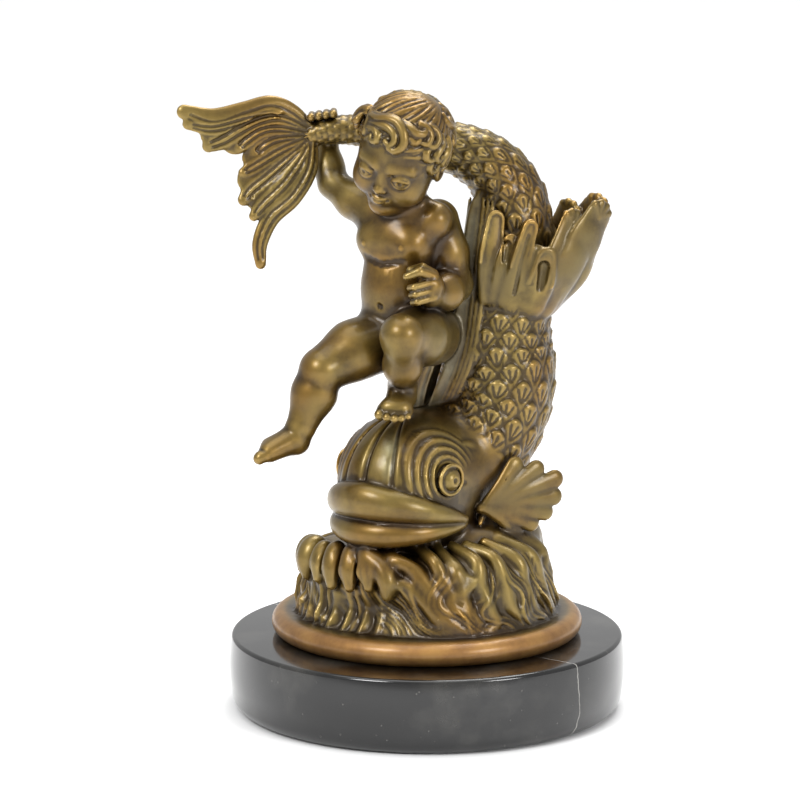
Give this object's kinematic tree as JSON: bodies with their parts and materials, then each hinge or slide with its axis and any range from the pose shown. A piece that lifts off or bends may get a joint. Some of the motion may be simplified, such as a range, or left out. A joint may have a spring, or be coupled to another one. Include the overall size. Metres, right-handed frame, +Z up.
{
  "type": "bronze statuette on a marble plinth",
  "caption": "Bronze statuette of a putto seated on a baroque dolphin that rises from waves, on a round black marble plinth.",
  "frame": {"origin": "centre of the plinth's flat underside", "axes": "+Z up, +X to the viewer's right as the statuette faces the viewer, +Y away from the viewer"},
  "size_m": [0.1707, 0.1528, 0.2415],
  "materials": {
    "patinated_bronze": "cast bronze with an olive brown patina, rubbed golden on the raised edges, satin",
    "black_marble": "polished black marble with a few white veins"
  },
  "bodies": {
    "root": {"bronze_putto_and_dolphin": "patinated_bronze", "marble_plinth": "black_marble"}
  },
  "joints": []
}
